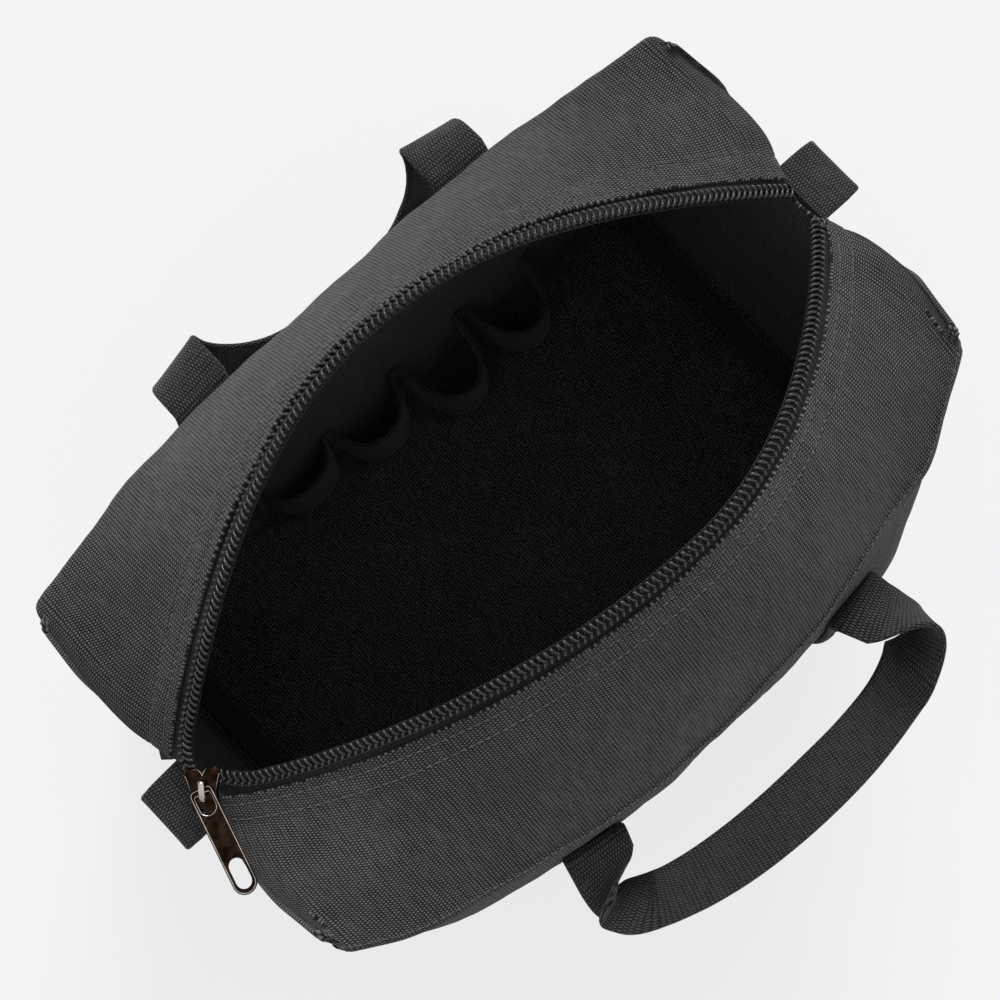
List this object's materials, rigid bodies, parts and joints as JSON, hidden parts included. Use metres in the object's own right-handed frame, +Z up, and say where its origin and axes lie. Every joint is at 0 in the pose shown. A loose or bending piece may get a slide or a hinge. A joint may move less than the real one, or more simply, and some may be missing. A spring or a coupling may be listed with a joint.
{
  "type": "zippered tool bag",
  "caption": "Soft canvas tool bag on a flat base, its zippered mouth held open, with webbing handles, end tabs and elastic tool loops inside.",
  "frame": {"origin": "on the floor under the middle of the bag's base", "axes": "+X along the zip towards its far end, -Y towards the front of the bag, +Z up"},
  "size_m": [0.331, 0.2794, 0.2286],
  "materials": {
    "canvas": "matte heavy canvas",
    "webbing": "matte woven webbing",
    "woven_tape": "matte woven tape",
    "elastic": "ribbed elastic",
    "nylon": "satin moulded",
    "nickel": "polished dark nickel"
  },
  "bodies": {
    "bag": {"bottom_panel": "canvas", "front_panel": "canvas", "rear_panel": "canvas", "end_panel_left": "canvas", "end_panel_right": "canvas", "top_flap_front": "canvas", "top_flap_rear": "canvas", "seam_ridge_front": "canvas", "seam_ridge_rear": "canvas", "seam_binding_left": "woven_tape", "seam_binding_right": "woven_tape", "elastic_band": "elastic", "zipper_tape_front": "woven_tape", "zipper_tape_rear": "woven_tape", "zipper_teeth_front": "nylon", "zipper_teeth_rear": "nylon", "end_tab_left": "webbing", "end_tab_right": "webbing", "handle_strap_front_left": "webbing", "handle_strap_front_right": "webbing", "handle_strap_rear_left": "webbing", "handle_strap_rear_right": "webbing"},
    "zip_slider": {"slider": "nickel"},
    "puller": {"zipper_puller": "nickel"},
    "handle_front": {"front_handle": "webbing"},
    "handle_rear": {"rear_handle": "webbing"}
  },
  "joints": [
    {"name": "slider_slide", "type": "slide", "parent": "bag", "child": "zip_slider", "axis": [1, 0, 0], "range_m": [0, 0.272]},
    {"name": "puller_hinge", "type": "hinge", "parent": "zip_slider", "child": "puller", "pos_m": [-0.14775, -0.00696, 0.1703], "axis": [-0.9613, 0.2756, 0], "range_deg": [0, 125]},
    {"name": "front_handle_hinge", "type": "hinge", "parent": "bag", "child": "handle_front", "pos_m": [0, -0.11256, 0.14995], "axis": [-1, 0, 0], "range_deg": [-25, 100]},
    {"name": "rear_handle_hinge", "type": "hinge", "parent": "bag", "child": "handle_rear", "pos_m": [0.006, 0.09262, 0.15265], "axis": [1, 0, 0], "range_deg": [-15, 75]}
  ]
}
